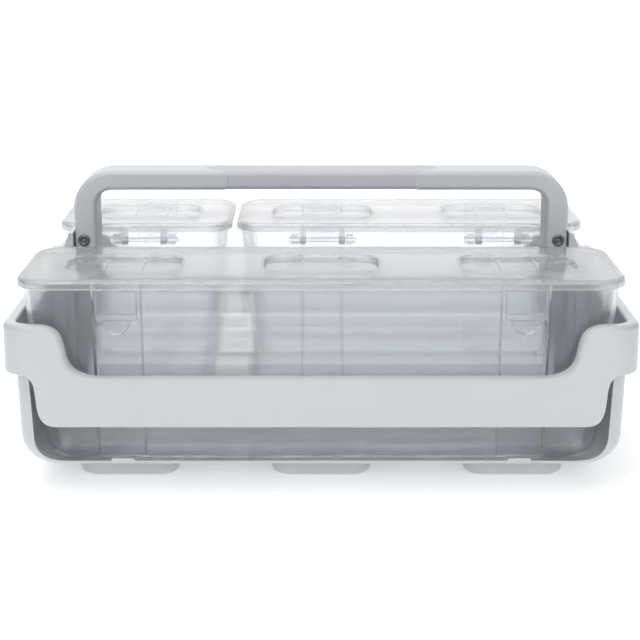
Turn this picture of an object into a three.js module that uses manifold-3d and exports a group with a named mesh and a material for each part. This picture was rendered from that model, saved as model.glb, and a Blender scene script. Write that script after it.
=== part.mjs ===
// A carry caddy for art supplies: a moulded tub with a drop-down bail handle, holding one
// large, one medium and one small clear bin, each with a hinged lid and flip latches.
// Millimetres. +X runs along the handle, +Y to the back, +Z up. The origin is under the
// middle of the tub, at the height of the feet's soles.
import * as THREE from 'three';
import { mergeVertices } from 'three/addons/utils/BufferGeometryUtils.js';
import Module from 'manifold-3d';

const wasm = await Module();
wasm.setup();

// ---------------------------------------------------------------- driving dimensions
const RIM = { halfX: 178, halfY: 133.5, radius: 17, top: 98.2, dip: 29.8, height: 28.4, skin: 2.5 };
const UPPER_BEND = { ends: 159, fromHigh: 129.5, fromLow: 156.5, middle: 121 };
const LOWER_BEND = { ends: 167, fromHigh: 152.4, fromLow: 166.6, middle: 148 };
const WALL = { halfX: 173, halfY: 128, radius: 14, draft: 0.027 };
const FLOOR = { under: 10, round: 22, thickness: 2.2 };
const WINDOW = { sill: 15.2, halfLow: 162.2, halfHigh: 163.8, round: 18, top: 80 };
const SILL_TAB = { halfX: 7, rise: 2.3 };
const FOOT = { halfX: 29, halfY: 20, radius: 10, sole: 4.5 };
const RIDGE = { y: 42, halfY: 1, top: 28, halfX: 150 };
const PILLAR = {
  outer: 171, inner: 152.3, halfY: 17, top: 113,
  plate: 5.6, shoulder: 119.6, tip: 127.5, skin: 2.6,
};
const RAIL = { inner: 141.5, halfY: 6, neckHalfY: 3.5, neckTop: 80.3, top: 112, slotFoot: 79.8 };
const HANDLE = {
  halfX: 151.7, legWidth: 13.7, halfY: 13.75, top: 165, bar: 11.7, foot: 75,
  outerRadius: 23.5, innerRadius: 9.5, bevel: 2.6, travel: 40, pinX: 146, pinZ: 122.2,
};
const GRIP = {
  side: 57, tip: 72, halfY: 13.4, low: 154.0, high: 164.7, radius: 4,
  coreHalfY: 11, coreLow: 156.4, coreHigh: 162.2,
};
const PIN = { radius: 2, head: 3.7, headHeight: 1.25 };
const UNIT = 113.3;                       // pitch of one bin unit along X
const LID = { halfY: 47, radius: 18, low: 117.5, top: 123.1, plate: 2, skirt: 2 };
const POCKET = { halfX: 33, halfY: 23, radius: 12, depth: 2.5, taper: 1.5, floor: 1.8, ribX: 10.6 };
const BIN = { gap: 2.5, top: 120.5, low: 12.5, draft: 0.0857, wall: 2, radius: 16, round: 14 };
const CHANNEL = { halfX: 12.75, depth: 2, slope: 1.2 };
const HINGE = {
  y: 48.4, z: 113, radius: 3.2, bore: 1.8, pin: 1.5,
  knuckleX: 12.6, knuckleHalfX: 2.1, lugX: 17.7, lugHalfX: 2.5,
};
const LATCH = { halfX: 11.4, back: 45.2, front: 47, low: 100.5, high: 117.2, thumb: 7.9, bead: 103.2 };
const GAP = 0.3;                          // clearance between neighbouring pieces
const ROW_Y = RIM.halfY - 4.6 - LID.halfY; // middle of each row of bins
const CORNER_STEPS = 6;
const ROUND_ANGLES = [0, 0.25, 0.5, 0.75, 1].map((share) => share * Math.PI / 2);

// ---------------------------------------------------------------- shape helpers
// A closed solid from a three.js geometry.
function solid(geometry) {
  const bare = geometry.index ? geometry.toNonIndexed() : geometry.clone();
  bare.deleteAttribute('normal');
  bare.deleteAttribute('uv');
  const merged = mergeVertices(bare, 1e-4);
  return new wasm.Manifold(new wasm.Mesh({
    numProp: 3,
    vertProperties: merged.attributes.position.array,
    triVerts: new Uint32Array(merged.index.array),
  }));
}

// A three.js geometry from a closed solid.
function geometryOf(manifold) {
  const made = manifold.getMesh();
  const geometry = new THREE.BufferGeometry();
  geometry.setAttribute('position', new THREE.BufferAttribute(made.vertProperties, 3));
  geometry.setIndex(new THREE.BufferAttribute(made.triVerts, 1));
  const flat = geometry.toNonIndexed();
  flat.computeVertexNormals();
  return flat;
}

function box(x0, x1, y0, y1, z0, z1) {
  const geometry = new THREE.BoxGeometry(x1 - x0, y1 - y0, z1 - z0);
  return solid(geometry.translate((x0 + x1) / 2, (y0 + y1) / 2, (z0 + z1) / 2));
}

// A shape drawn in X and Z, extruded along Y from y0 to y1.
function alongY(shape, y0, y1, options = {}) {
  const settings = { depth: y1 - y0, bevelEnabled: false, curveSegments: 8, ...options };
  const bevel = settings.bevelEnabled ? settings.bevelThickness : 0;
  settings.depth -= 2 * bevel;
  const geometry = new THREE.ExtrudeGeometry(shape, settings);
  return solid(geometry.rotateX(Math.PI / 2).translate(0, y1 - bevel, 0));
}

// A shape drawn in Y and Z, extruded along X from x0 to x1.
function alongX(shape, x0, x1) {
  const settings = { depth: x1 - x0, bevelEnabled: false, curveSegments: 5 };
  const geometry = new THREE.ExtrudeGeometry(shape, settings);
  const turn = new THREE.Matrix4().makeBasis(
    new THREE.Vector3(0, 1, 0), new THREE.Vector3(0, 0, 1), new THREE.Vector3(1, 0, 0));
  return solid(geometry.applyMatrix4(turn).translate(x0, 0, 0));
}

// A turned pin. The profile holds pairs of radius and height, from axis to axis.
function turned(profile, sides = 16) {
  return new THREE.LatheGeometry(profile.map(([r, h]) => new THREE.Vector2(r, h)), sides);
}

function rodX(radius, x0, x1, y, z, sides = 16) {
  const geometry = new THREE.CylinderGeometry(radius, radius, x1 - x0, sides);
  return solid(geometry.rotateZ(Math.PI / 2).translate((x0 + x1) / 2, y, z));
}

// A rounded rectangle as points, with shallow channels let into its -Y side.
function outline(halfX, halfY, radius, channels = [], channelHalfX = 0, channelDepth = 0) {
  const points = [];
  for (const x of channels) {
    points.push(new THREE.Vector2(x - channelHalfX - CHANNEL.slope, -halfY));
    points.push(new THREE.Vector2(x - channelHalfX, -halfY + channelDepth));
    points.push(new THREE.Vector2(x + channelHalfX, -halfY + channelDepth));
    points.push(new THREE.Vector2(x + channelHalfX + CHANNEL.slope, -halfY));
  }
  const corners = [[1, -1], [1, 1], [-1, 1], [-1, -1]];
  corners.forEach(([sx, sy], i) => {
    for (let k = 0; k <= CORNER_STEPS; k++) {
      const angle = (i - 1 + k / CORNER_STEPS) * Math.PI / 2;
      points.push(new THREE.Vector2(
        sx * (halfX - radius) + radius * Math.cos(angle),
        sy * (halfY - radius) + radius * Math.sin(angle)));
    }
  });
  return points;
}

// A closed body through sections of equal point counts, each { points, z }.
function loft(sections) {
  const count = sections[0].points.length;
  const positions = sections.flatMap(({ points, z }) => points.flatMap((p) => [p.x, p.y, z]));
  const index = [];
  for (let i = 0; i + 1 < sections.length; i++) {
    for (let j = 0; j < count; j++) {
      const a = i * count + j;
      const b = i * count + (j + 1) % count;
      index.push(a, b, b + count, a, b + count, a + count);
    }
  }
  const last = (sections.length - 1) * count;
  for (const [a, b, c] of THREE.ShapeUtils.triangulateShape(sections[0].points, [])) index.push(a, c, b);
  for (const [a, b, c] of THREE.ShapeUtils.triangulateShape(sections.at(-1).points, [])) {
    index.push(last + a, last + b, last + c);
  }
  const geometry = new THREE.BufferGeometry();
  geometry.setAttribute('position', new THREE.Float32BufferAttribute(positions, 3));
  geometry.setIndex(index);
  return solid(geometry);
}

function roundedPost(halfX, halfY, radius, z0, z1, inset0 = 0, inset1 = 0) {
  return loft([
    { points: outline(halfX - inset0, halfY - inset0, radius - inset0), z: z0 },
    { points: outline(halfX - inset1, halfY - inset1, radius - inset1), z: z1 },
  ]);
}

const mirrorX = (made) => made.mirror([1, 0, 0]);

// ---------------------------------------------------------------- materials
const white = new THREE.MeshStandardMaterial({ color: 0xeef0f2, roughness: 0.45, metalness: 0 });
const gripGrey = new THREE.MeshStandardMaterial({ color: 0xd9dadf, roughness: 0.7, metalness: 0 });
const pinGrey = new THREE.MeshStandardMaterial({ color: 0x6c7073, roughness: 0.35, metalness: 0.6 });
const clear = new THREE.MeshStandardMaterial({
  color: 0xf2f6f8, roughness: 0.05, metalness: 0, transparent: true, opacity: 0.25 });
const frosted = new THREE.MeshStandardMaterial({
  color: 0xe6e8e9, roughness: 0.35, metalness: 0, transparent: true, opacity: 0.6 });

function piece(name, made, material) {
  const mesh = new THREE.Mesh(made.isBufferGeometry ? made : geometryOf(made), material);
  mesh.name = name;
  return mesh;
}

// ---------------------------------------------------------------- the tub
// The area below an edge that is high at the ends and dips in the middle. The edge's bend
// starts at ends, heads for fromHigh, comes in from fromLow and is down at middle.
function belowEdge(high, low, { ends, fromHigh, fromLow, middle }) {
  const shape = new THREE.Shape();
  shape.moveTo(-200, -20);
  shape.lineTo(200, -20);
  shape.lineTo(200, high);
  shape.lineTo(ends, high);
  shape.bezierCurveTo(fromHigh, high, fromLow, low, middle, low);
  shape.lineTo(-middle, low);
  shape.bezierCurveTo(-fromLow, low, -fromHigh, high, -ends, high);
  shape.lineTo(-200, high);
  shape.closePath();
  return shape;
}

function shifted(bend, by) {
  return Object.fromEntries(Object.entries(bend).map(([key, x]) => [key, x + by]));
}

// The tub's body, closed at the top, with its sides and its round set in by inset.
function tubBody(inset, top) {
  const base = FLOOR.under + FLOOR.round;
  const reach = FLOOR.round - inset;
  const lean = (z) => WALL.draft * (RIM.top - z);
  const sections = ROUND_ANGLES.map((angle) => {
    const side = FLOOR.round - reach * Math.sin(angle);
    return {
      points: outline(
        WALL.halfX - side - lean(base), WALL.halfY - side - lean(base),
        Math.max(WALL.radius - side * 0.45 - inset * 0.55, 4)),
      z: base - reach * Math.cos(angle),
    };
  });
  sections.push({
    points: outline(WALL.halfX - inset - lean(top), WALL.halfY - inset - lean(top), WALL.radius - inset),
    z: top,
  });
  return loft(sections);
}

function ring(outer, inner, z0, z1) {
  return roundedPost(...outer, z0, z1).subtract(roundedPost(...inner, z0 - 1, z1 + 1));
}

function tub() {
  const rimLow = RIM.top - RIM.height;
  const upper = alongY(belowEdge(RIM.top, RIM.top - RIM.dip, UPPER_BEND), -150, 150);
  const lower = alongY(belowEdge(rimLow, rimLow - RIM.dip, LOWER_BEND), -150, 150);
  const lowerIn = alongY(belowEdge(rimLow + 2, rimLow - RIM.dip + 2, shifted(LOWER_BEND, -2)), -150, 150);
  const hollowTop = alongY(
    belowEdge(RIM.top - RIM.skin, RIM.top - RIM.dip - RIM.skin, shifted(UPPER_BEND, RIM.skin)), -150, 150);

  const windowShape = new THREE.Shape();
  windowShape.moveTo(-WINDOW.halfLow + WINDOW.round, WINDOW.sill);
  for (const x of [-UNIT + 0.3, UNIT - 0.3]) {
    windowShape.lineTo(x - SILL_TAB.halfX, WINDOW.sill);
    windowShape.lineTo(x - SILL_TAB.halfX + 1, WINDOW.sill + SILL_TAB.rise);
    windowShape.lineTo(x + SILL_TAB.halfX - 1, WINDOW.sill + SILL_TAB.rise);
    windowShape.lineTo(x + SILL_TAB.halfX, WINDOW.sill);
  }
  windowShape.lineTo(WINDOW.halfLow - WINDOW.round, WINDOW.sill);
  windowShape.quadraticCurveTo(WINDOW.halfLow, WINDOW.sill, WINDOW.halfLow, WINDOW.sill + WINDOW.round);
  windowShape.lineTo(WINDOW.halfHigh, WINDOW.top);
  windowShape.lineTo(-WINDOW.halfHigh, WINDOW.top);
  windowShape.lineTo(-WINDOW.halfLow, WINDOW.sill + WINDOW.round);
  windowShape.quadraticCurveTo(-WINDOW.halfLow, WINDOW.sill, -WINDOW.halfLow + WINDOW.round, WINDOW.sill);

  const outer = tubBody(0, RIM.top + 4);
  let made = outer.subtract(tubBody(FLOOR.thickness, RIM.top + 5)).intersect(upper);
  for (const [y0, y1] of [[-150, -106], [106, 150]]) {
    made = made.subtract(alongY(windowShape, y0, y1).intersect(lowerIn));
  }

  const band = ring(
    [RIM.halfX, RIM.halfY, RIM.radius],
    [WALL.halfX - 1.5, WALL.halfY - 1.5, WALL.radius - 1.5], 30, RIM.top + 2)
    .intersect(upper)
    .subtract(lower);
  const skinX = RIM.halfX - RIM.skin;
  const skinY = RIM.halfY - RIM.skin;
  const hollow = ring(
    [skinX, skinY, RIM.radius - RIM.skin],
    [WALL.halfX + GAP, WALL.halfY + GAP, WALL.radius + GAP], 20, RIM.top + 2).intersect(hollowTop);
  made = made.add(band.subtract(hollow));

  for (const row of [-1, 1]) {
    for (const unit of [-1, 0, 1]) {
      const foot = loft([
        { points: outline(FOOT.halfX - FOOT.sole, FOOT.halfY - FOOT.sole, FOOT.radius - FOOT.sole), z: 0 },
        { points: outline(FOOT.halfX - 1.5, FOOT.halfY - 1.5, FOOT.radius - 1.5), z: 1.6 },
        { points: outline(FOOT.halfX, FOOT.halfY, FOOT.radius), z: 4.5 },
        { points: outline(FOOT.halfX, FOOT.halfY, FOOT.radius), z: FLOOR.under + 1 },
      ]);
      made = made.add(foot.translate(unit * (UNIT - 1.3), row * ROW_Y, 0));
    }
    const y = row * RIDGE.y;
    const { halfX, halfY } = RIDGE;
    made = made.add(box(-halfX, halfX, y - halfY, y + halfY, FLOOR.under + 1, RIDGE.top));
  }
  const reach = WALL.halfX;
  const pillarRoom = outer.add(box(-reach, reach, -PILLAR.halfY, PILLAR.halfY, RIM.top - 10, PILLAR.tip + 1));
  const ownPillar = pillar().intersect(pillarRoom);
  return made
    .add(ownPillar)
    .add(mirrorX(ownPillar))
    .subtract(pillarCore())
    .subtract(mirrorX(pillarCore()));
}

// The guide at the left end of the middle trough: a post, a tall plate outside the handle's
// leg, and a forked rail that the leg slides on.
function pillar() {
  const { outer, inner, halfY, top, plate, shoulder, tip } = PILLAR;
  const crown = new THREE.Shape();
  crown.moveTo(-outer, FLOOR.under + 1);
  crown.lineTo(-inner, FLOOR.under + 1);
  crown.lineTo(-inner, tip);
  crown.lineTo(-inner - 2.2, tip);
  crown.lineTo(-inner - plate, shoulder);
  crown.lineTo(-inner - plate, top);
  crown.lineTo(-outer, top);
  crown.closePath();
  const post = alongY(crown, -halfY, halfY);
  const rail = box(-inner - 1, -RAIL.inner, -RAIL.halfY, RAIL.halfY, RAIL.neckTop, RAIL.top)
    .add(box(-inner - 1, -RAIL.inner, -RAIL.neckHalfY, RAIL.neckHalfY, FLOOR.under + 1, RAIL.neckTop + 0.5));
  const slotHalf = PIN.radius + 0.4;
  const slot = box(-HANDLE.pinX - slotHalf, -HANDLE.pinX + slotHalf, -20, 20, RAIL.slotFoot, RAIL.top + 5);
  return post.add(rail.subtract(slot));
}

// The hollow inside the post, open through the floor by a mouth that stays inside the round.
function pillarCore() {
  const { outer, inner, halfY, top, skin } = PILLAR;
  const coreY = halfY - skin;
  return box(-outer + skin, -inner - skin, -coreY, coreY, FLOOR.under + FLOOR.round, top - skin)
    .add(box(-inner - 8, -inner - skin, -coreY, coreY, 0, FLOOR.under + FLOOR.round + 1));
}

// ---------------------------------------------------------------- the handle
function bail() {
  const { halfX, legWidth, halfY, top, bar, foot, outerRadius, innerRadius, bevel } = HANDLE;
  const inX = halfX - legWidth;
  const inTop = top - bar;
  const shape = new THREE.Shape();
  shape.moveTo(-halfX, foot);
  shape.lineTo(-inX, foot);
  shape.lineTo(-inX, inTop - innerRadius);
  shape.absarc(-inX + innerRadius, inTop - innerRadius, innerRadius, Math.PI, Math.PI / 2, true);
  shape.lineTo(inX - innerRadius, inTop);
  shape.absarc(inX - innerRadius, inTop - innerRadius, innerRadius, Math.PI / 2, 0, true);
  shape.lineTo(inX, foot);
  shape.lineTo(halfX, foot);
  shape.lineTo(halfX, top - outerRadius);
  shape.absarc(halfX - outerRadius, top - outerRadius, outerRadius, 0, Math.PI / 2, false);
  shape.lineTo(-halfX + outerRadius, top);
  shape.absarc(-halfX + outerRadius, top - outerRadius, outerRadius, Math.PI / 2, Math.PI, false);
  shape.closePath();
  let made = alongY(shape, -halfY, halfY, {
    bevelEnabled: true, bevelThickness: bevel, bevelSize: bevel, bevelOffset: -bevel, bevelSegments: 3,
  });

  const reach = GRIP.tip + 1;
  const core = box(-reach, reach, -GRIP.coreHalfY, GRIP.coreHalfY, GRIP.coreLow, GRIP.coreHigh);
  made = made.subtract(gripPlan(GAP, inTop - 5, top + 5).subtract(core));

  const channelTop = RAIL.top + HANDLE.travel + 1;
  const neckTop = foot + 5;
  const channelX = RAIL.inner - 0.5;
  const wideY = RAIL.halfY + 0.5;
  const neckY = RAIL.neckHalfY + 0.5;
  const channel = box(-halfX - 2, -channelX, -wideY, wideY, neckTop, channelTop)
    .add(box(-halfX - 2, -channelX, -neckY, neckY, foot - 5, neckTop + 1))
    .add(solid(new THREE.CylinderGeometry(PIN.radius + GAP, PIN.radius + GAP, 60, 16)
      .translate(-HANDLE.pinX, 0, HANDLE.pinZ)));
  return made.subtract(channel).subtract(mirrorX(channel));
}

function roundedSection(halfY, low, high, radius) {
  const path = new THREE.Shape();
  path.moveTo(-halfY + radius, low);
  path.lineTo(halfY - radius, low);
  path.absarc(halfY - radius, low + radius, radius, -Math.PI / 2, 0, false);
  path.lineTo(halfY, high - radius);
  path.absarc(halfY - radius, high - radius, radius, 0, Math.PI / 2, false);
  path.lineTo(-halfY + radius, high);
  path.absarc(-halfY + radius, high - radius, radius, Math.PI / 2, Math.PI, false);
  path.lineTo(-halfY, low + radius);
  path.absarc(-halfY + radius, low + radius, radius, Math.PI, Math.PI * 1.5, false);
  return path;
}

// The grip's plan: a bar whose ends run to a blunt point, grown by a gap.
function gripPlan(gap, z0, z1) {
  const { side, tip, halfY } = GRIP;
  const wide = halfY + 5;
  const past = (tip - side) * 5 / halfY;
  const shape = new THREE.Shape();
  shape.moveTo(-side + past - gap, -wide);
  shape.lineTo(side - past + gap, -wide);
  shape.lineTo(tip + gap, 0);
  shape.lineTo(side - past + gap, wide);
  shape.lineTo(-side + past - gap, wide);
  shape.lineTo(-tip - gap, 0);
  shape.closePath();
  const geometry = new THREE.ExtrudeGeometry(shape, { depth: z1 - z0, bevelEnabled: false });
  return solid(geometry.translate(0, 0, z0));
}

function grip() {
  const sleeve = alongX(roundedSection(GRIP.halfY, GRIP.low, GRIP.high, GRIP.radius), -GRIP.tip, GRIP.tip);
  const reach = GRIP.tip + 1;
  const coreHalfY = GRIP.coreHalfY + GAP;
  return sleeve
    .intersect(gripPlan(0, GRIP.low - 1, GRIP.high + 1))
    .subtract(box(-reach, reach, -coreHalfY, coreHalfY, GRIP.coreLow - GAP, GRIP.coreHigh + GAP));
}

function handlePin() {
  const under = HANDLE.halfY + GAP;
  const end = under + PIN.headHeight;
  return turned([
    [0, -end], [PIN.head - 0.7, -end], [PIN.head, -end + 0.5], [PIN.head, -under], [PIN.radius, -under],
    [PIN.radius, under], [PIN.head, under], [PIN.head, end - 0.5], [PIN.head - 0.7, end], [0, end],
  ]);
}

function makeHandle() {
  const group = new THREE.Group();
  group.add(piece('handle', bail(), white), piece('handle_grip', grip(), gripGrey));
  for (const [side, x] of [['left', -HANDLE.pinX], ['right', HANDLE.pinX]]) {
    const pin = piece(`handle_pin_${side}`, handlePin(), pinGrey);
    pin.position.set(x, 0, HANDLE.pinZ);
    group.add(pin);
  }
  return group;
}

// ---------------------------------------------------------------- the bins
// Each bin is drawn about its own middle, with its latches on -Y and its hinge on +Y.
function binShell(halfX, latchX, unitX) {
  const halfY = LID.halfY - BIN.gap;
  const topX = halfX - BIN.gap;
  const base = BIN.low + BIN.round;
  const section = (inset, z, extra = 0) => {
    const side = inset + extra + BIN.draft * (BIN.top - z);
    return {
      points: outline(
        topX - side, halfY - side, Math.max(BIN.radius - inset - extra * 0.5, 5),
        latchX, CHANNEL.halfX + inset, CHANNEL.depth),
      z,
    };
  };
  const roundAt = (inset, angle) => {
    const reach = BIN.round - inset;
    const z = base - reach * Math.cos(angle);
    return section(inset, z, reach * (1 - Math.sin(angle)));
  };
  const sections = ROUND_ANGLES.map((angle) => roundAt(0, angle));
  sections.push(section(0, BIN.top), section(BIN.wall, BIN.top));
  [...ROUND_ANGLES].reverse().forEach((angle) => sections.push(roundAt(BIN.wall, angle)));
  let made = loft(sections);

  const { y, z, radius, lugX, lugHalfX } = HINGE;
  for (const unit of unitX) {
    for (const x of [unit - lugX, unit + lugX]) {
      made = made
        .add(rodX(radius, x - lugHalfX, x + lugHalfX, y, z))
        .add(box(x - lugHalfX, x + lugHalfX, 42.6, y, z - radius, z + radius));
    }
    made = made.subtract(rodX(HINGE.bore, unit - 40, unit + 40, y, z));
  }
  return made;
}

function lidShell(halfX, unitX) {
  const at = (inset, z) => ({ points: outline(halfX - inset, LID.halfY - inset, LID.radius - inset), z });
  const under = LID.top - LID.plate;
  let made = loft([
    at(LID.skirt, under), at(LID.skirt, LID.low), at(0, LID.low),
    at(0, LID.top - 2.4), at(0.7, LID.top - 0.8), at(2.4, LID.top),
  ]);
  const { halfX: pocketX, halfY: pocketY, radius, depth, taper, floor, ribX } = POCKET;
  const pocketFloor = LID.top - depth;
  for (const unit of unitX) {
    const cup = roundedPost(
      pocketX + floor, pocketY + floor, radius + floor, pocketFloor - floor, under + 0.5);
    const hollow = roundedPost(pocketX, pocketY, radius, pocketFloor, LID.top + 0.1, taper, 0);
    made = made.add(cup.translate(unit, 0, 0)).subtract(hollow.translate(unit, 0, 0));
    for (const x of [unit - ribX, unit + ribX]) {
      made = made.add(
        box(x - 0.5, x + 0.5, -pocketY + 2, pocketY - 2, pocketFloor - 0.5, pocketFloor + 0.8));
    }
    const { y, z, knuckleX, knuckleHalfX } = HINGE;
    for (const x of [unit - knuckleX, unit + knuckleX]) {
      made = made
        .add(rodX(HINGE.radius, x - knuckleHalfX, x + knuckleHalfX, y, z))
        .add(box(x - knuckleHalfX, x + knuckleHalfX, y - 2.4, y + HINGE.radius - 0.4, z, LID.low + 2));
    }
    made = made.subtract(rodX(HINGE.bore, unit - 40, unit + 40, y, z));
  }
  return made;
}

function latch() {
  const { halfX, back, front, low, high, thumb, bead } = LATCH;
  const shape = new THREE.Shape();
  shape.moveTo(-halfX, high);
  shape.lineTo(-halfX, low + 1);
  shape.lineTo(-halfX + 1, low);
  shape.lineTo(-thumb, low);
  shape.absarc(0, low, thumb, Math.PI, Math.PI * 2, false);
  shape.lineTo(halfX - 1, low);
  shape.lineTo(halfX, low + 1);
  shape.lineTo(halfX, high);
  shape.closePath();
  const thumbShape = new THREE.Shape();
  thumbShape.moveTo(-thumb, low);
  thumbShape.absarc(0, low, thumb, Math.PI, Math.PI * 2, false);
  thumbShape.closePath();
  return alongY(shape, -front, -back)
    .add(alongY(thumbShape, -front - 1.6, -front + 0.5))
    .add(box(-halfX, halfX, -front - 1.1, -front + 0.5, bead - 1, bead + 1));
}

function hingePin() {
  const end = HINGE.lugX + HINGE.lugHalfX + GAP;
  const head = HINGE.pin + 0.8;
  return turned([
    [0, -end - 1.2], [head, -end - 1.2], [head, -end], [HINGE.pin, -end],
    [HINGE.pin, end + 1], [HINGE.pin - 0.6, end + 1.6], [0, end + 1.6],
  ], 12).rotateZ(Math.PI / 2);
}

const SIDES = { 1: [''], 2: ['_left', '_right'], 3: ['_left', '_middle', '_right'] };

function makeBin(size, halfX, unitX, latchX, place) {
  const group = new THREE.Group();
  group.add(piece(`${size}_bin`, binShell(halfX, latchX, unitX), clear));
  group.add(piece(`${size}_lid`, lidShell(halfX, unitX), frosted));
  unitX.forEach((x, i) => {
    const pin = piece(`${size}_hinge_pin${SIDES[unitX.length][i]}`, hingePin(), clear);
    pin.position.set(x, HINGE.y, HINGE.z);
    group.add(pin);
  });
  latchX.forEach((x, i) => {
    const tab = piece(`${size}_latch${SIDES[latchX.length][i]}`, latch(), frosted);
    tab.position.x = x;
    group.add(tab);
  });
  group.position.set(place.x, place.y, 0);
  group.rotation.z = place.turn;
  return group;
}

// ---------------------------------------------------------------- the assembly
const largeHalf = 1.5 * UNIT;
const smallHalf = 56;
const mediumHalf = 112.5;

const caddy = new THREE.Group();
caddy.add(piece('caddy_tub', tub(), white));
caddy.add(makeHandle());
caddy.add(makeBin('large', largeHalf, [-UNIT, 0, UNIT], [-UNIT, UNIT], { x: 0, y: -ROW_Y, turn: 0 }));
caddy.add(makeBin('medium', mediumHalf, [-UNIT / 2, UNIT / 2], [-UNIT / 2, UNIT / 2],
  { x: largeHalf - mediumHalf, y: ROW_Y, turn: Math.PI }));
caddy.add(makeBin('small', smallHalf, [0], [0], { x: smallHalf - largeHalf, y: ROW_Y, turn: Math.PI }));

export default caddy;
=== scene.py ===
import math

import bmesh
import bpy
from mathutils import Matrix, Vector


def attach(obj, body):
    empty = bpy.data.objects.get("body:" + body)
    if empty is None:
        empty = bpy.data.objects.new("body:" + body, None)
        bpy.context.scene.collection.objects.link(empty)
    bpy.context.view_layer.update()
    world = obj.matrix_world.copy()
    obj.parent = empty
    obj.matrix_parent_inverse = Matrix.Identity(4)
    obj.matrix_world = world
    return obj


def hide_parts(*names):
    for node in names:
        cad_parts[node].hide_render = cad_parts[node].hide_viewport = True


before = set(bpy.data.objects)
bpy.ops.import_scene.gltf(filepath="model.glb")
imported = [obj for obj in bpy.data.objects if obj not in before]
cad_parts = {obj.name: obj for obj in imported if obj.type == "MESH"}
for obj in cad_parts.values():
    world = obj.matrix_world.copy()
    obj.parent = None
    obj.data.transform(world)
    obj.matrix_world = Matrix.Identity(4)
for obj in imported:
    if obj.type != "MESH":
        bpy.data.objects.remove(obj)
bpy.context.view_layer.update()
mm = 0.001
touching = 1e-6
print("frame loaded")


# camera, floor and light

view = {"away": 1018.7, "up": 327.0, "left": 0.7, "tilt": 14.26, "lens": 93.56, "sensor": 36}
studio = {
    "floor": (0.98, 0.98, 0.98), "sky": 1.19, "sides": 0.10, "front": 0.72, "above": 0.66,
    "key": 7.5, "fill": 5.0, "back": 1.5, "glow": 0.3,
}


def addCamera():
    data = bpy.data.cameras.new("camera")
    data.lens = view["lens"]
    data.sensor_width = view["sensor"]
    data.clip_start = 0.05
    camera = bpy.data.objects.new("camera", data)
    camera.location = (-view["left"] * mm, -view["away"] * mm, view["up"] * mm)
    camera.rotation_euler = (math.radians(90 - view["tilt"]), 0, 0)
    bpy.context.scene.collection.objects.link(camera)
    bpy.context.scene.camera = camera


def addLight(name, power, size, place, target):
    data = bpy.data.lights.new(name, "AREA")
    data.energy = power
    data.shape = "RECTANGLE"
    data.size, data.size_y = size
    lamp = bpy.data.objects.new(name, data)
    lamp.location = place
    lamp.rotation_euler = (Vector(target) - Vector(place)).to_track_quat("-Z", "Y").to_euler()
    bpy.context.scene.collection.objects.link(lamp)


def addStudio():
    world = bpy.data.worlds.new("studio")
    world.use_nodes = True
    background = world.node_tree.nodes["Background"]
    background.inputs["Strength"].default_value = studio["sky"]
    nodes, links = world.node_tree.nodes, world.node_tree.links
    way = nodes.new("ShaderNodeTexCoord")
    split = nodes.new("ShaderNodeSeparateXYZ")
    links.new(way.outputs["Generated"], split.inputs["Vector"])
    across = nodes.new("ShaderNodeMath")
    across.operation = "ABSOLUTE"
    links.new(split.outputs["X"], across.inputs[0])
    toward = nodes.new("ShaderNodeMath")
    toward.operation = "MULTIPLY"
    toward.inputs[1].default_value = -1
    links.new(split.outputs["Y"], toward.inputs[0])
    screened = []
    for source, share, low, high in (
        (across.outputs["Value"], studio["sides"], 0.4, 0.8),
        (toward.outputs["Value"], studio["front"], 0.3, 0.8),
        (split.outputs["Z"], studio["above"], 0.45, 0.9),
    ):
        fade = nodes.new("ShaderNodeMapRange")  # darker screens to each side, in front and above
        fade.interpolation_type = "SMOOTHSTEP"
        fade.inputs["From Min"].default_value = low
        fade.inputs["From Max"].default_value = high
        fade.inputs["To Min"].default_value = 1.0
        fade.inputs["To Max"].default_value = share
        links.new(source, fade.inputs["Value"])
        if screened:
            both = nodes.new("ShaderNodeMath")
            both.operation = "MULTIPLY"
            links.new(screened[-1], both.inputs[0])
            links.new(fade.outputs["Result"], both.inputs[1])
            screened.append(both.outputs["Value"])
        else:
            screened.append(fade.outputs["Result"])
    seen = nodes.new("ShaderNodeLightPath")
    shown = nodes.new("ShaderNodeMath")  # the backdrop itself stays pale from every side
    shown.operation = "MAXIMUM"
    links.new(screened[-1], shown.inputs[0])
    links.new(seen.outputs["Is Camera Ray"], shown.inputs[1])
    links.new(shown.outputs["Value"], background.inputs["Color"])
    bpy.context.scene.world = world
    bpy.context.scene.view_settings.view_transform = "Standard"
    addLight("key", studio["key"], (1.3, 1.0), (-0.25, -0.15, 1.25), (0, 0, 0.05))
    addLight("fill", studio["fill"], (1.6, 0.8), (0.1, -1.7, 0.75), (0, 0, 0.08))
    addLight("back", studio["back"], (2.0, 0.7), (0.0, 1.4, 0.9), (0, 0, 0.1))

    bm = bmesh.new()
    bmesh.ops.create_grid(bm, x_segments=1, y_segments=1, size=1.3)
    mesh = bpy.data.meshes.new("floor")
    bm.to_mesh(mesh)
    bm.free()
    floor = bpy.data.objects.new("floor", mesh)
    bpy.context.scene.collection.objects.link(floor)
    pale = bpy.data.materials.new("paleFloor")
    pale.use_nodes = True
    shader = pale.node_tree.nodes["Principled BSDF"]
    shader.inputs["Base Color"].default_value = (*studio["floor"], 1)
    shader.inputs["Roughness"].default_value = 0.9
    shader.inputs["Emission Color"].default_value = (1, 1, 1, 1)
    shader.inputs["Emission Strength"].default_value = studio["glow"]
    mesh.materials.append(pale)


# materials

def newGroup(name, inputs, outputs):
    group = bpy.data.node_groups.new(name, "ShaderNodeTree")
    for label, kind, value in inputs:
        socket = group.interface.new_socket(label, in_out="INPUT", socket_type=kind)
        socket.default_value = value
    for label, kind in outputs:
        group.interface.new_socket(label, in_out="OUTPUT", socket_type=kind)
    return group, group.nodes.new("NodeGroupInput"), group.nodes.new("NodeGroupOutput")


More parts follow.
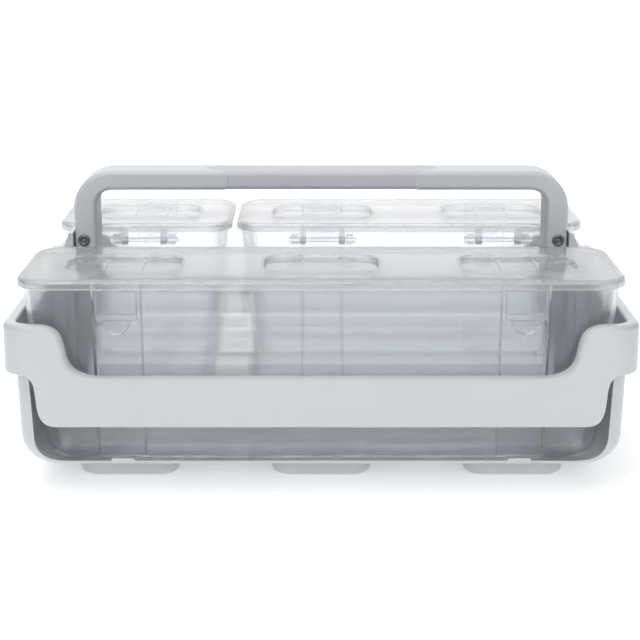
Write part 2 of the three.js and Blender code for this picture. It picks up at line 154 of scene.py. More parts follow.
def mouldedFinish():
    # colour drift, gloss drift and the fine skin that a mould leaves
    group, given, made = newGroup(
        "mouldedFinish",
        [
            ("Colour", "NodeSocketColor", (0.8, 0.8, 0.8, 1)),
            ("Shade", "NodeSocketColor", (0.7, 0.7, 0.7, 1)),
            ("Gloss low", "NodeSocketFloat", 0.3),
            ("Gloss high", "NodeSocketFloat", 0.4),
            ("Grain scale", "NodeSocketFloat", 2500.0),
            ("Drift scale", "NodeSocketFloat", 14.0),
        ],
        [("Colour", "NodeSocketColor"), ("Roughness", "NodeSocketFloat"), ("Height", "NodeSocketFloat")],
    )
    nodes, links = group.nodes, group.links
    place = nodes.new("ShaderNodeTexCoord")
    drift = nodes.new("ShaderNodeTexNoise")
    drift.inputs["Detail"].default_value = 3
    links.new(place.outputs["Object"], drift.inputs["Vector"])
    links.new(given.outputs["Drift scale"], drift.inputs["Scale"])
    grain = nodes.new("ShaderNodeTexNoise")
    grain.inputs["Detail"].default_value = 2
    links.new(place.outputs["Object"], grain.inputs["Vector"])
    links.new(given.outputs["Grain scale"], grain.inputs["Scale"])
    colour = nodes.new("ShaderNodeMix")
    colour.data_type = "RGBA"
    links.new(drift.outputs["Fac"], colour.inputs["Factor"])
    links.new(given.outputs["Colour"], colour.inputs[6])
    links.new(given.outputs["Shade"], colour.inputs[7])
    gloss = nodes.new("ShaderNodeMapRange")
    links.new(grain.outputs["Fac"], gloss.inputs["Value"])
    links.new(given.outputs["Gloss low"], gloss.inputs["To Min"])
    links.new(given.outputs["Gloss high"], gloss.inputs["To Max"])
    links.new(colour.outputs[2], made.inputs["Colour"])
    links.new(gloss.outputs["Result"], made.inputs["Roughness"])
    links.new(grain.outputs["Fac"], made.inputs["Height"])
    return group


def plastic(name, finish, look):
    material = bpy.data.materials.new(name)
    material.use_nodes = True
    nodes, links = material.node_tree.nodes, material.node_tree.links
    shader = nodes["Principled BSDF"]
    skin = nodes.new("ShaderNodeGroup")
    skin.node_tree = finish
    skin.inputs["Colour"].default_value = (*look["colour"], 1)
    skin.inputs["Shade"].default_value = (*look["shade"], 1)
    skin.inputs["Gloss low"].default_value = look["gloss"][0]
    skin.inputs["Gloss high"].default_value = look["gloss"][1]
    skin.inputs["Grain scale"].default_value = look["grain"]
    skin.inputs["Drift scale"].default_value = look.get("drift", 14)
    links.new(skin.outputs["Colour"], shader.inputs["Base Color"])
    links.new(skin.outputs["Roughness"], shader.inputs["Roughness"])
    bump = nodes.new("ShaderNodeBump")
    bump.inputs["Strength"].default_value = look["bump"]
    bump.inputs["Distance"].default_value = 0.0001
    links.new(skin.outputs["Height"], bump.inputs["Height"])
    links.new(bump.outputs["Normal"], shader.inputs["Normal"])
    shader.inputs["IOR"].default_value = 1.49
    shader.inputs["Metallic"].default_value = look.get("metallic", 0.0)
    shader.inputs["Transmission Weight"].default_value = look.get("clear", 0.0)
    shader.inputs["Alpha"].default_value = look.get("body", 1.0)
    shader.inputs["Coat Weight"].default_value = look.get("coat", 0.0)
    shader.inputs["Coat Roughness"].default_value = 0.15
    return material


looks = {
    "tub": {
        "colour": (0.555, 0.575, 0.595), "shade": (0.535, 0.555, 0.575), "gloss": (0.26, 0.36),
        "grain": 2200, "bump": 0.10, "coat": 0.35,
    },
    "handle": {
        "colour": (0.53, 0.56, 0.585), "shade": (0.51, 0.54, 0.565), "gloss": (0.30, 0.40),
        "grain": 2200, "bump": 0.12,
    },
    "grip": {
        "colour": (0.53, 0.53, 0.575), "shade": (0.51, 0.51, 0.555), "gloss": (0.50, 0.66),
        "grain": 1500, "bump": 0.45,
    },
    "pin": {
        "colour": (0.20, 0.205, 0.21), "shade": (0.13, 0.135, 0.14), "gloss": (0.25, 0.4),
        "grain": 3000, "bump": 0.2, "metallic": 0.9,
    },
    "bin": {
        "colour": (0.925, 0.945, 0.965), "shade": (0.905, 0.925, 0.955), "gloss": (0.015, 0.045),
        "grain": 900, "bump": 0.01, "clear": 1.0, "body": 0.64,
    },
    "lid": {
        "colour": (0.77, 0.78, 0.795), "shade": (0.745, 0.755, 0.775), "gloss": (0.07, 0.13),
        "grain": 1800, "bump": 0.03, "clear": 0.86, "body": 0.72,
    },
    "latch": {
        "colour": (0.88, 0.895, 0.93), "shade": (0.86, 0.875, 0.91), "gloss": (0.03, 0.07),
        "grain": 1200, "bump": 0.02, "clear": 0.97, "body": 0.85,
    },
}


# mesh helpers

def smoothStep(x, low, high):
    t = min(max((x - low) / (high - low), 0), 1)
    return t * t * (3 - 2 * t)


def ringPoints(halfX, halfY, radius, xs, ys, corner=12):
    # a rounded rectangle from its front left, anticlockwise; xs and ys lie on the straight sides
    points = [(x, -halfY) for x in xs]
    sides = {
        1: [(halfX, y) for y in ys],
        2: [(x, halfY) for x in reversed(xs)],
        3: [(-halfX, y) for y in reversed(ys)],
    }
    for turn, (sx, sy) in enumerate(((1, -1), (1, 1), (-1, 1), (-1, -1))):
        for step in range(corner + 1):
            angle = math.radians(90) * (turn - 1 + step / corner)
            points.append((
                sx * (halfX - radius) + radius * math.cos(angle),
                sy * (halfY - radius) + radius * math.sin(angle),
            ))
        points += sides.get(turn + 1, [])
    return points


def wrapRings(rings, closed=False):
    # a grid rolled into a tube through rings of (x, y, z) points in millimetres
    around = len(rings[0])
    steps = len(rings) if closed else len(rings) - 1
    bm = bmesh.new()
    bmesh.ops.create_grid(bm, x_segments=around, y_segments=steps, size=0.5)
    for v in bm.verts:
        i = round((v.co.x + 0.5) * around) % around
        j = round((v.co.y + 0.5) * steps) % len(rings)
        v.co = Vector(rings[j][i]) * mm
    bmesh.ops.remove_doubles(bm, verts=bm.verts, dist=touching)
    bmesh.ops.holes_fill(bm, edges=[e for e in bm.edges if e.is_boundary], sides=0)
    bmesh.ops.recalc_face_normals(bm, faces=bm.faces)
    return bm


def prism(points, start, end, axis="y"):
    # a drawn outline pushed out along one axis, in millimetres
    bm = bmesh.new()
    place = {
        "x": lambda a, b, c: (c, a, b),
        "y": lambda a, b, c: (a, c, b),
        "z": lambda a, b, c: (a, b, c),
    }[axis]
    face = bm.faces.new([bm.verts.new(Vector(place(a, b, start)) * mm) for a, b in points])
    made = bmesh.ops.extrude_face_region(bm, geom=[face])
    moved = [v for v in made["geom"] if isinstance(v, bmesh.types.BMVert)]
    bmesh.ops.translate(bm, verts=moved, vec=Vector(place(0, 0, end - start)) * mm)
    bmesh.ops.recalc_face_normals(bm, faces=bm.faces)
    return bm


def boxOf(x0, x1, y0, y1, z0, z1):
    return prism([(x0, z0), (x1, z0), (x1, z1), (x0, z1)], y0, y1)


def turned(profile, axis, centre, steps=48):
    # a lathe piece from (radius, along) pairs that start and end on the axis
    bm = bmesh.new()
    verts = [bm.verts.new((r * mm, 0, along * mm)) for r, along in profile]
    edges = [bm.edges.new(pair) for pair in zip(verts, verts[1:])]
    bmesh.ops.spin(
        bm, geom=verts + edges, cent=(0, 0, 0), axis=(0, 0, 1), angle=math.tau, steps=steps, use_merge=True)
    bmesh.ops.remove_doubles(bm, verts=bm.verts, dist=touching)
    bmesh.ops.recalc_face_normals(bm, faces=bm.faces)
    turn = {"x": Matrix.Rotation(math.pi / 2, 4, "Y"), "y": Matrix.Rotation(-math.pi / 2, 4, "X")}[axis]
    bmesh.ops.transform(bm, matrix=Matrix.Translation(Vector(centre) * mm) @ turn, verts=bm.verts)
    return bm


def rod(radius, x0, x1, y, z, soft=0.4, steps=32):
    half = (x1 - x0) / 2
    profile = [
        (0, -half), (radius - soft, -half), (radius, -half + soft),
        (radius, half - soft), (radius - soft, half), (0, half),
    ]
    return turned(profile, "x", ((x0 + x1) / 2, y, z), steps)


def merged(*parts):
    whole = parts[0]
    for part in parts[1:]:
        mesh = bpy.data.meshes.new("part")
        part.to_mesh(mesh)
        part.free()
        whole.from_mesh(mesh)
        bpy.data.meshes.remove(mesh)
    return whole


def meshObject(name, bm):
    mesh = bpy.data.meshes.new(name)
    bm.to_mesh(mesh)
    bm.free()
    made = bpy.data.objects.new(name, mesh)
    bpy.context.scene.collection.objects.link(made)
    return made


def bakeModifiers(piece):
    graph = bpy.context.evaluated_depsgraph_get()
    mesh = bpy.data.meshes.new_from_object(piece.evaluated_get(graph))
    piece.modifiers.clear()
    piece.data = mesh


def dropSlivers(piece):
    # a boolean leaves faces of no area, and the next boolean would tear the mesh open at them
    bm = bmesh.new()
    bm.from_mesh(piece.data)
    bmesh.ops.remove_doubles(bm, verts=bm.verts, dist=touching)
    bmesh.ops.dissolve_degenerate(bm, dist=touching, edges=bm.edges)
    bm.to_mesh(piece.data)
    bm.free()


def combine(piece, operation, *tools):
    for tool in tools:
        other = meshObject(f"{piece.name}_tool", tool)
        cut = piece.modifiers.new("cut", "BOOLEAN")
        cut.operation = operation
        cut.solver = "EXACT"
        cut.object = other
        bakeModifiers(piece)
        bpy.data.objects.remove(other)
        dropSlivers(piece)


def soften(piece, width, angle=35, segments=3):
    # rounds the edges that are still sharp
    bm = bmesh.new()
    bm.from_mesh(piece.data)
    bmesh.ops.dissolve_degenerate(bm, dist=touching, edges=bm.edges)
    bmesh.ops.dissolve_limit(
        bm, angle_limit=math.radians(0.5), use_dissolve_boundaries=False, verts=bm.verts, edges=bm.edges)
    bm.to_mesh(piece.data)
    bm.free()
    bevel = piece.modifiers.new("soften", "BEVEL")
    bevel.width = width * mm
    bevel.segments = segments
    bevel.limit_method = "ANGLE"
    bevel.angle_limit = math.radians(angle)
    bevel.use_clamp_overlap = True


def finishPiece(piece, body, material, sharp=45):
    piece.data.materials.clear()
    piece.data.materials.append(material)
    for polygon in piece.data.polygons:
        polygon.material_index = 0
        polygon.use_smooth = True
    piece.data.set_sharp_from_angle(angle=math.radians(sharp))
    weigh = piece.modifiers.new("weigh", "WEIGHTED_NORMAL")
    weigh.keep_sharp = True
    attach(piece, body)
    return piece


def arc(centreX, centreZ, radius, start, end, steps=8):
    return [
        (
            centreX + radius * math.cos(math.radians(start + (end - start) * k / steps)),
            centreZ + radius * math.sin(math.radians(start + (end - start) * k / steps)),
        )
        for k in range(steps + 1)
    ]


# the tub

rim = {
    "halfX": 178, "halfY": 133.5, "radius": 17, "top": 98.2, "dip": 29.8, "height": 28.4,
    "skin": 2.5, "width": 7.4, "round": 3.4,
}
upperBend = {"ends": 159, "fromHigh": 129.5, "fromLow": 156.5, "middle": 121}
lowerBend = {"ends": 167, "fromHigh": 152.4, "fromLow": 166.6, "middle": 148}
tub = {
    "halfX": 173, "halfY": 128, "radius": 14, "draft": 0.027, "skin": 2.2,
    "floor": 10, "round": 22,
}
window = {"sill": 15.2, "halfLow": 162.2, "halfHigh": 163.8, "round": 18, "tabHalf": 7, "tabRise": 2.3}
windowCut = {"near": 106, "far": 140}
foot = {"halfX": 29, "halfY": 20, "radius": 10, "sole": 4.5, "pitch": 112, "y": 81.9}
unit = 113.3


def bendPlace(bend, t):
    # how far out a bend is, t of the way from its high end to its low one
    return (
        (1 - t) ** 3 * bend["ends"] + 3 * t * (1 - t) ** 2 * bend["fromHigh"]
        + 3 * t * t * (1 - t) * bend["fromLow"] + t ** 3 * bend["middle"]
    )


def edgeHeight(x, high, low, bend, shift=0):
    # height of an edge that is high at the ends and dips in the middle
    x = abs(x) - shift
    if x >= bend["ends"]:
        return high
    if x <= bend["middle"]:
        return low
    start, end = 0.0, 1.0
    for _ in range(30):
        t = (start + end) / 2
        if bendPlace(bend, t) > x:
            start = t
        else:
            end = t
    share = t * t * (3 - 2 * t)
    return high + (low - high) * share


def tubStations():
    # places along the straight front, as shares of it, that follow both bends evenly
    straight = rim["halfX"] - rim["radius"]
    half = [0.09 * k for k in range(8)] + [1]
    for bend in (upperBend, lowerBend):
        half += [min(bendPlace(bend, k / 28) / straight, 1) for k in range(29)]
    half = sorted(half)
    kept = [s for s, after in zip(half, half[1:] + [2]) if after - s > 0.0008]
    return sorted({-s for s in kept} | set(kept))


def tubRing(halfX, halfY, radius, height):
    straightX, straightY = halfX - radius, halfY - radius
    xs = [share * straightX for share in tubStations()[1:-1]]
    ys = [straightY * (-0.9 + 0.18 * k) for k in range(11)]
    return [(x, y, height(x)) for x, y in ringPoints(halfX, halfY, radius, xs, ys)]


def steepness(edge, x):
    nudge = 0.05
    return (edge(x + nudge) - edge(x - nudge)) / (2 * nudge)


def edgeRing(inset, edge, lift):
    # a ring at a set distance square to an edge, so that the rim keeps its thickness where it bends
    made = []
    flat = tubRing(rim["halfX"] - inset, rim["halfY"] - inset, rim["radius"] - inset, edge)
    for x, y, z in flat:
        slope = steepness(edge, x)
        share = lift / math.hypot(1, slope)
        made.append((x - slope * share, y, z + share))
    return made


def rimBand():
    topLow, lowHigh = rim["top"] - rim["dip"], rim["top"] - rim["height"]
    low = lambda x: edgeHeight(x, lowHigh, lowHigh - rim["dip"], lowerBend)
    high = lambda x: edgeHeight(x, rim["top"], topLow, upperBend)
    r, skin, width = rim["round"], rim["skin"], rim["width"]
    section = [(0.9 - 0.9 * math.sin(a), low, 0.9 - 0.9 * math.cos(a)) for a in (0, 0.5, 1.0, math.pi / 2)]
    section += [
        (r - r * math.cos(a), high, -r + r * math.sin(a))
        for a in (0, 0.31, 0.63, 0.94, 1.26, math.pi / 2)
    ]
    section += [
        (width - 1.4 + 1.4 * math.sin(a), high, -1.4 + 1.4 * math.cos(a))
        for a in (0, 0.4, 0.8, 1.2, math.pi / 2)
    ]
    section += [(width, high, -5), (width - 1.6, high, -5), (width - 1.6, high, -skin), (skin, high, -skin)]
    section += [(skin, low, 0.5), (skin - 0.5, low, 0)]
    return wrapRings([edgeRing(*place) for place in section], closed=True)


def tubWall():
    baseZ = tub["floor"] + tub["round"]
    topEdge = lambda x: edgeHeight(x, rim["top"], rim["top"] - rim["dip"], upperBend)
    topAt = lambda x: topEdge(x) - 2 * math.hypot(1, steepness(topEdge, x))
    lean = lambda z: tub["draft"] * (rim["top"] - z)

    def roundRings(inset):
        reach = tub["round"] - inset
        rings = []
        for k in range(11):
            angle = math.pi / 2 * k / 10
            side = tub["round"] - reach * math.sin(angle)
            radius = max(tub["radius"] - side * 0.45 - inset * 0.55, 4)
            z = baseZ - reach * math.cos(angle)
            rings.append(tubRing(
                tub["halfX"] - side - lean(baseZ), tub["halfY"] - side - lean(baseZ), radius,
                lambda x, z=z: z))
        return rings

    def wallRing(inset, share):
        height = lambda x: baseZ + (topAt(x) - baseZ) * share
        z = baseZ + (rim["top"] - baseZ) * share
        return tubRing(
            tub["halfX"] - inset - lean(z), tub["halfY"] - inset - lean(z), tub["radius"] - inset, height)

    rings = roundRings(0) + [wallRing(0, share) for share in (0.33, 0.66, 1)]
    rings += [wallRing(tub["skin"], share) for share in (1, 0.66, 0.33)]
    rings += list(reversed(roundRings(tub["skin"])))
    return wrapRings(rings)


def windowOutline():
    sill, low, corner = window["sill"], window["halfLow"], window["round"]
    side = []
    for k in range(13):
        t = k / 12
        side.append((
            (1 - t) ** 2 * (low - corner) + 2 * t * (1 - t) * low + t * t * low,
            (1 - t) ** 2 * sill + 2 * t * (1 - t) * sill + t * t * (sill + corner),
        ))
    lowHigh = rim["top"] - rim["height"]
    reach = window["halfHigh"]
    xs = [reach - reach * k / 90 for k in range(91)]
    top = [(x, edgeHeight(x, lowHigh + 2, lowHigh - rim["dip"] + 2, lowerBend, -2)) for x in xs]
    x, half, rise = unit - 0.3, window["tabHalf"], window["tabRise"]
    tabs = [(x - half, sill), (x - half + 1, sill + rise), (x + half - 1, sill + rise), (x + half, sill)]
    right = tabs + side + top[:-1]
    left = [(-x, z) for x, z in reversed(right)]
    return right + [(0, lowHigh - rim["dip"] + 2)] + left


def footPiece(x, y):
    rings = []
    sole = foot["sole"]
    for k in range(9):
        angle = math.pi / 2 * k / 8
        inset = sole - sole * math.sin(angle)
        z = sole - sole * math.cos(angle)
        points = ringPoints(
            foot["halfX"] - inset, foot["halfY"] - inset, foot["radius"] - inset * 0.6, [], [])
        rings.append([(px + x, py + y, z) for px, py in points])
    rings.append([(px, py, tub["floor"] + 1) for px, py, z in rings[-1]])
    return wrapRings(rings)


pillar = {
    "outer": 170.6, "inner": 152.3, "halfY": 17, "top": 113, "plate": 5.6, "shoulder": 119.6, "tip": 127.5,
    "skin": 2.6,
}
guide = {
    "inner": 141.5, "halfY": 6, "neckHalfY": 3.5, "neckTop": 80.3, "top": 112,
    "slotFoot": 79.8, "slotHalf": 2.4,
}
ridge = {"y": 42, "halfY": 1, "top": 28, "halfX": 150}


def guidePost(side):
    outer, inner = pillar["outer"], pillar["inner"]
    base = tub["floor"] + 1.5
    outline = [
        (inner, base), (inner, pillar["tip"]), (inner + 2.2, pillar["tip"]),
        (inner + pillar["plate"], pillar["shoulder"]), (inner + pillar["plate"], pillar["top"]),
        (outer, pillar["top"]), (outer, base + tub["round"]), (outer - 5, base + 8), (outer - 11, base),
    ]
    halfY = pillar["halfY"]
    post = prism([(side * x, z) for x, z in outline], -halfY, halfY)
    piece = meshObject("guide_left" if side < 0 else "guide_right", post)
    x0, x1 = sorted((side * (inner + 1), side * guide["inner"]))
    rail = boxOf(x0, x1, -guide["halfY"], guide["halfY"], guide["neckTop"], guide["top"])
    neck = boxOf(x0, x1, -guide["neckHalfY"], guide["neckHalfY"], base, guide["neckTop"] + 0.5)
    combine(piece, "UNION", rail, neck)
    pinX = side * handle["pinX"]
    slot = boxOf(
        pinX - guide["slotHalf"], pinX + guide["slotHalf"], -20, 20, guide["slotFoot"], guide["top"] + 5)
    skin = pillar["skin"]
    x0, x1 = sorted((side * (inner + skin), side * (inner + 8)))
    core = boxOf(x0, x1, -halfY + skin, halfY - skin, 0, pillar["top"] - skin)
    combine(piece, "DIFFERENCE", slot, core)
    soften(piece, 0.6)
    return piece


def makeTub(material):
    wall = meshObject("tub_wall", tubWall())
    near, far = windowCut["near"], windowCut["far"]
    combine(wall, "DIFFERENCE", prism(windowOutline(), -far, -near), prism(windowOutline(), near, far))
    soften(wall, 0.5, angle=50)
    band = meshObject("tub_rim", rimBand())
    feet = merged(*[
        footPiece(column * foot["pitch"], row * foot["y"]) for row in (-1, 1) for column in (-1, 0, 1)])
    pieces = [wall, band, meshObject("tub_feet", feet), guidePost(-1), guidePost(1)]
    ridges = merged(*[
        boxOf(
            -ridge["halfX"], ridge["halfX"],
            row * ridge["y"] - ridge["halfY"], row * ridge["y"] + ridge["halfY"],
            tub["floor"] + 1, ridge["top"])
        for row in (-1, 1)])
    ribs = meshObject("tub_ridges", ridges)
    soften(ribs, 0.5)
    for piece in pieces + [ribs]:
        finishPiece(piece, "caddy", material)
    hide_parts("caddy_tub")
    print("tub made")


# the handle

handle = {
    "halfX": 151.7, "leg": 13.7, "halfY": 13.75, "top": 165, "bar": 11.7, "foot": 75,
    "outerRadius": 23.5, "innerRadius": 9.5, "round": 2.8, "pinX": 146, "pinZ": 122.2, "travel": 40,
}
grip = {
    "side": 57, "tip": 72, "halfY": 13.6, "low": 153.7, "high": 164.85, "round": 2.8, "seam": 0.12,
    "slack": 0.3, "coreHalfY": 11, "coreLow": 156.4, "coreHigh": 162.2,
}


def sectionPoints(low, high, halfY, radius, steps=5):
    corners = (
        (high - radius, halfY - radius, 0), (low + radius, halfY - radius, 90),
        (low + radius, -halfY + radius, 180), (high - radius, -halfY + radius, 270),
    )
    points = []
    for across, y, start in corners:
        for k in range(steps + 1):
            angle = math.radians(start + 90 * k / steps)
            points.append((across + radius * math.cos(angle), y + radius * math.sin(angle)))
    return points


def gripPlan(gap, low, high):
    # the grip seen from above: a bar whose ends run to a blunt point
    side, tip, halfY = grip["side"], grip["tip"], grip["halfY"]
    wide, past = halfY + 5, (tip - side) * 5 / halfY
    right = [(side - past + gap, -wide), (tip + gap, 0), (side - past + gap, wide)]
    return prism(right + [(-x, -y) for x, y in right], low, high, axis="z")


def handleLine():
    # (outer, inner) stations from the left foot over the bar to the middle
    halfX, inX = handle["halfX"], handle["halfX"] - handle["leg"]
    top, inTop = handle["top"], handle["top"] - handle["bar"]
    ro, ri = handle["outerRadius"], handle["innerRadius"]
    stations = []
    for k in range(9):
        share = k / 8
        stations.append((
            (-halfX, handle["foot"] + share * (top - ro - handle["foot"])),
            (-inX, handle["foot"] + share * (inTop - ri - handle["foot"])),
        ))
    for k in range(1, 21):
        angle = math.pi / 2 * k / 20
        stations.append((
            (-halfX + ro - ro * math.cos(angle), top - ro + ro * math.sin(angle)),
            (-inX + ri - ri * math.cos(angle), inTop - ri + ri * math.sin(angle)),
        ))
    return stations


def handleRings():
    rings = []
    for outer, inner in handleLine():
        outer, inner = Vector(outer), Vector(inner)
        deep = (inner - outer).length
        way = (inner - outer) / deep
        section = sectionPoints(0, deep, handle["halfY"], handle["round"])
        rings.append([(*(outer + way * (deep - a)), y) for a, y in section])
    rings = [[(x, y, z) for x, z, y in ring] for ring in rings]
    rings += [[(-x, y, z) for x, y, z in ring] for ring in reversed(rings)]
    return rings


def makeHandle(material, gripMaterial, pinMaterial):
    bail = meshObject("handle_bail", wrapRings(handleRings()))
    outward = handle["halfX"] + 2
    channelIn = guide["inner"] - 0.5
    channelTop = guide["top"] + handle["travel"] + 1
    cuts = []
    for side in (-1, 1):
        x0, x1 = sorted((side * outward, side * channelIn))
        wide, neck = guide["halfY"] + 0.5, guide["neckHalfY"] + 0.5
        cuts.append(boxOf(x0, x1, -wide, wide, handle["foot"] + 5, channelTop))
        cuts.append(boxOf(x0, x1, -neck, neck, handle["foot"] - 5, handle["foot"] + 6))
    reach = grip["tip"] + 3
    inTop = handle["top"] - handle["bar"]
    room = meshObject("grip_room", gripPlan(grip["seam"], inTop - 5, handle["top"] + 5))
    combine(room, "DIFFERENCE", boxOf(
        -reach, reach, -grip["coreHalfY"], grip["coreHalfY"], grip["coreLow"], grip["coreHigh"]))
    cuts.append(bmesh.new())
    cuts[-1].from_mesh(room.data)
    bpy.data.objects.remove(room)
    combine(bail, "DIFFERENCE", *cuts)
    soften(bail, 0.5, angle=50)
    finishPiece(bail, "handle", material)
    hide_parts("handle")

    section = sectionPoints(grip["low"], grip["high"], grip["halfY"], grip["round"])
    sleeve = meshObject("grip_sleeve", wrapRings([
        [(x, y, z) for z, y in section] for x in (-reach, 0, reach)]))
    combine(sleeve, "INTERSECT", gripPlan(0, grip["low"] - 1, grip["high"] + 1))
    slack, holeHalfY = grip["slack"], grip["coreHalfY"] + grip["slack"]
    combine(sleeve, "DIFFERENCE", boxOf(
        -reach, reach, -holeHalfY, holeHalfY, grip["coreLow"] - slack, grip["coreHigh"] + slack))
    soften(sleeve, 0.3, angle=40)
    finishPiece(sleeve, "handle", gripMaterial)
    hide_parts("handle_grip")

    for name, side in (("left", -1), ("right", 1)):
        face = handle["halfY"] + 0.02
        proud = [
            (0, 0.75), (0.9, 0.75), (1.2, 0.55), (1.5, 0.75), (2.0, 1.05), (2.3, 1.25), (2.9, 1.2),
            (3.4, 0.9), (3.7, 0.45), (3.7, 0), (2, 0),
        ]
        profile = [(r, -face - h) for r, h in proud] + [(r, face + h) for r, h in reversed(proud)]
        pin = meshObject(f"pin_{name}", turned(profile, "y", (side * handle["pinX"], 0, handle["pinZ"])))
        finishPiece(pin, "handle", pinMaterial)
        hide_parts(f"handle_pin_{name}")
    print("handle made")


# the bins

lid = {
    "halfY": 47, "radius": 18, "low": 117.5, "top": 123.1, "plate": 2.0, "skirt": 2.0, "shoulder": 2.4,
}
pocket = {"halfX": 33, "halfY": 23, "radius": 12, "depth": 2.5, "taper": 1.5, "floor": 1.8, "ribX": 10.6}
binShape = {
    "gap": 2.5, "top": 120.5, "low": 12.5, "draft": 0.0857, "wall": 2.0, "radius": 16, "round": 14,
    "rowY": 81.9,
}
channel = {"halfX": 12.75, "depth": 2.0, "slope": 1.2}
hinge = {
    "y": 48.4, "z": 113, "radius": 3.2, "bore": 1.8, "pin": 1.5,
    "knuckleX": 12.6, "knuckleHalfX": 2.1, "lugX": 17.7, "lugHalfX": 2.5,
    "lugRoot": 43.0, "boreHalfX": 22,
}
latch = {
    "halfX": 11.4, "back": 45.2, "front": 47, "low": 100.5, "high": 117.2, "thumb": 7.9, "bead": 103.2,
}


def binBody(halfX, latches):
    topX, topY = halfX - binShape["gap"], lid["halfY"] - binShape["gap"]
    baseZ = binShape["low"] + binShape["round"]
    edges = [-1.9, -0.3, 0.0, 0.3, 0.6, 0.9, 1.2, 1.5, 3.0]
    xs = sorted(
        [x + side * (channel["halfX"] + e) for x in latches for side in (-1, 1) for e in edges]
        + [x + off for x in latches for off in (-6, 0, 6)])
    reach = topX - 36
    step = 9.0
    spare = [-reach + step * k for k in range(int(2 * reach / step) + 1)]
    xs = sorted(xs + [s for s in spare if all(abs(s - x) > 3 for x in xs)])
    ys = [-10, 0, 10]  # within the straight part, which is shortest at the foot

    def recess(x):
        edge, end = channel["halfX"], channel["halfX"] + channel["slope"]
        return channel["depth"] * max(1 - smoothStep(abs(x - place), edge, end) for place in latches)

    def ring(inset, z, extra=0.0):
        side = inset + extra + binShape["draft"] * (binShape["top"] - z)
        radius = max(binShape["radius"] - inset - extra * 0.5, 5)
        points = ringPoints(topX - side, topY - side, radius, xs, ys, 10)
        front = -(topY - side)
        return [(x, y + recess(x) if y < front + 1e-6 else y, z) for x, y in points]

    def roundRings(inset):
        made = []
        for k in range(10):
            angle = math.pi / 2 * k / 9
            reachIn = binShape["round"] - inset
            made.append(ring(inset, baseZ - reachIn * math.cos(angle), reachIn * (1 - math.sin(angle))))
        return made

    wall, top = binShape["wall"], binShape["top"]
    heights = [45, 65, 85, 105, 116]
    rings = roundRings(0) + [ring(0, z) for z in heights]
    rings += [ring(0, top - 0.5), ring(0.15, top - 0.15), ring(0.5, top)]
    rings += [ring(wall - 0.5, top), ring(wall - 0.15, top - 0.15), ring(wall, top - 0.5)]
    rings += [ring(wall, z) for z in reversed(heights)]
    rings += list(reversed(roundRings(wall)))
    return wrapRings(rings)


def hingeBores(units):
    reach = hinge["boreHalfX"]
    return [rod(hinge["bore"], x - reach, x + reach, hinge["y"], hinge["z"], 0.1) for x in units]


def binHinges(piece, units):
    y, z, r = hinge["y"], hinge["z"], hinge["radius"]
    tools = []
    for x in units:
        for lug in (x - hinge["lugX"], x + hinge["lugX"]):
            half = hinge["lugHalfX"]
            tools.append(rod(r, lug - half, lug + half, y, z))
            tools.append(boxOf(lug - half, lug + half, hinge["lugRoot"], y, z - r, z + r))
    combine(piece, "UNION", *tools)
    combine(piece, "DIFFERENCE", *hingeBores(units))


def lidBody(halfX):
    xs = [(halfX - lid["radius"]) * (-0.8 + 0.2 * k) for k in range(9)]
    ys = [-14, 0, 14]

    def ring(inset, z):
        points = ringPoints(halfX - inset, lid["halfY"] - inset, lid["radius"] - inset, xs, ys, 10)
        return [(x, y, z) for x, y in points]

    under = lid["top"] - lid["plate"]
    skirt, top, shoulder = lid["skirt"], lid["top"], lid["shoulder"]
    rings = [ring(skirt + 0.9, under), ring(skirt + 0.3, under - 0.3), ring(skirt, under - 0.9)]
    rings += [ring(skirt, lid["low"] + 0.4), ring(skirt - 0.4, lid["low"])]
    rings += [ring(0.4, lid["low"]), ring(0.1, lid["low"] + 0.15), ring(0, lid["low"] + 0.5)]
    rings += [ring(0, top - shoulder)]
    for k in range(1, 9):
        angle = math.pi / 2 * k / 8
        rings.append(ring(shoulder - shoulder * math.cos(angle), top - shoulder + shoulder * math.sin(angle)))
    rings.append(ring(shoulder + 0.8, top))
    return wrapRings(rings)


def pocketShape(x, halfX, halfY, radius, low, high, lowInset, fillet):
    rings = []
    for k in range(5):
        angle = math.pi / 2 * k / 4
        inset = lowInset + fillet - fillet * math.sin(angle)
        rings.append((inset, low + fillet - fillet * math.cos(angle)))
    rings.append((0, high))
    made = []
    for inset, z in rings:
        points = ringPoints(halfX - inset, halfY - inset, radius - inset, [], [], 10)
        made.append([(px + x, py, z) for px, py in points])
    return wrapRings(made)


def makeLid(name, halfX, units):
    piece = meshObject(name, lidBody(halfX))
    under = lid["top"] - lid["plate"]
    floorZ = lid["top"] - pocket["depth"]
    px, py, pr, wall = pocket["halfX"], pocket["halfY"], pocket["radius"], pocket["floor"]
    cups = [
        pocketShape(x, px + wall, py + wall, pr + wall, floorZ - wall, under + 0.5, 0.6, 0.8) for x in units]
    hollows = [
        pocketShape(x, px, py, pr, floorZ, lid["top"] + 0.1, pocket["taper"] - 0.8, 0.8) for x in units]
    combine(piece, "UNION", *cups)
    combine(piece, "DIFFERENCE", *hollows)
    ribs = [
        boxOf(x + side * pocket["ribX"] - 0.5, x + side * pocket["ribX"] + 0.5, -py + 2, py - 2,
              floorZ - 0.5, floorZ + 0.8)
        for x in units for side in (-1, 1)]
    combine(piece, "UNION", *ribs)
    y, z, half = hinge["y"], hinge["z"], hinge["knuckleHalfX"]
    tools = []
    for x in [place + side * hinge["knuckleX"] for place in units for side in (-1, 1)]:
        tools.append(rod(hinge["radius"], x - half, x + half, y, z))
        tools.append(boxOf(x - half, x + half, y - 2.4, y + hinge["radius"] - 0.4, z, lid["low"] + 2))
    combine(piece, "UNION", *tools)
    combine(piece, "DIFFERENCE", *hingeBores(units))
    soften(piece, 0.3, angle=40, segments=2)
    return piece


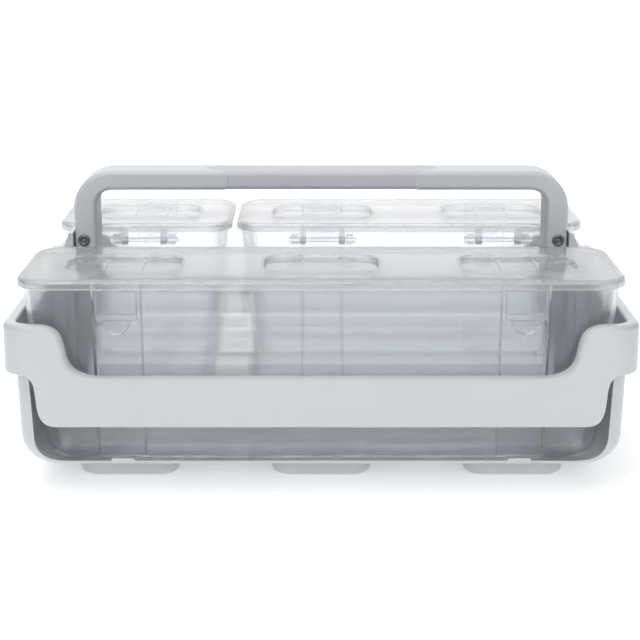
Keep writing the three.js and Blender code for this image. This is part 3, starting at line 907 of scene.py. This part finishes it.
def latchTab(x):
    half, low, high, thumb = latch["halfX"], latch["low"], latch["high"], latch["thumb"]
    outline = [(-half, high), (-half, low + 1), (-half + 1, low), (-thumb, low)]
    outline += arc(0, low, thumb, 180, 360, 24)[1:-1]
    outline += [(thumb, low), (half - 1, low), (half, low + 1), (half, high)]
    pad = [(-thumb, low)] + arc(0, low, thumb, 180, 360, 24)[1:-1] + [(thumb, low)]

    def move(points):
        return [(px + x, pz) for px, pz in points]

    front, back = latch["front"], latch["back"]
    tab = meshObject("latch_draft", prism(move(outline), -front, -back))
    bead = latch["bead"]
    combine(
        tab, "UNION", prism(move(pad), -front - 1.6, -front + 0.5),
        boxOf(x - half, x + half, -front - 1.1, -front + 0.5, bead - 1, bead + 1))
    soften(tab, 0.35, angle=40)
    return tab


def placeRow(piece, x, turn):
    # moves a piece drawn about its bin's own middle to the bin's place
    y = -binShape["rowY"] if turn == 0 else binShape["rowY"]
    piece.data.transform(Matrix.Translation(Vector((x, y, 0)) * mm) @ Matrix.Rotation(turn, 4, "Z"))


def spread(count):
    return {1: [""], 2: ["_left", "_right"], 3: ["_left", "_middle", "_right"]}[count]


bins = {
    "large": {"halfX": 1.5 * unit, "units": (-unit, 0, unit), "latches": (-unit, unit), "x": 0, "turn": 0},
    "medium": {
        "halfX": 112.5, "units": (-unit / 2, unit / 2), "latches": (-unit / 2, unit / 2),
        "x": 1.5 * unit - 112.5, "turn": math.pi,
    },
    "small": {"halfX": 56, "units": (0,), "latches": (0,), "x": 56 - 1.5 * unit, "turn": math.pi},
}


def makeBin(size, facts, clear, frosted, tabPlastic):
    def done(piece, body, material, node):
        placeRow(piece, facts["x"], facts["turn"])
        finishPiece(piece, body, material)
        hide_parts(node)

    shell = meshObject(f"{size}_box", binBody(facts["halfX"], facts["latches"]))
    binHinges(shell, facts["units"])
    done(shell, f"{size}_bin", clear, f"{size}_bin")
    cover = makeLid(f"{size}_cover", facts["halfX"], facts["units"])
    done(cover, f"{size}_lid", frosted, f"{size}_lid")
    end = hinge["lugX"] + hinge["lugHalfX"] + 0.3
    r = hinge["pin"]
    profile = [
        (0, end + 1.2), (r + 0.5, end + 1.2), (r + 0.8, end + 0.9), (r + 0.8, end), (r, end), (r, -end - 1),
        (r - 0.6, -end - 1.6), (0, -end - 1.6),
    ]
    for tail, x in zip(spread(len(facts["units"])), facts["units"]):
        pin = meshObject(f"{size}_pin{tail}", turned(profile, "x", (x, hinge["y"], hinge["z"]), 24))
        done(pin, f"{size}_bin", clear, f"{size}_hinge_pin{tail}")
    for tail, x in zip(spread(len(facts["latches"])), facts["latches"]):
        tab = latchTab(x)
        tab.name = f"{size}_tab{tail}"
        done(tab, f"{size}_latch{tail}", tabPlastic, f"{size}_latch{tail}")
    print(size, "bin made")


addCamera()
addStudio()
finish = mouldedFinish()
finishes = {name: plastic(f"{name}Plastic", finish, look) for name, look in looks.items()}
makeTub(finishes["tub"])
makeHandle(finishes["handle"], finishes["grip"], finishes["pin"])
for size, facts in bins.items():
    makeBin(size, facts, finishes["bin"], finishes["lid"], finishes["latch"])
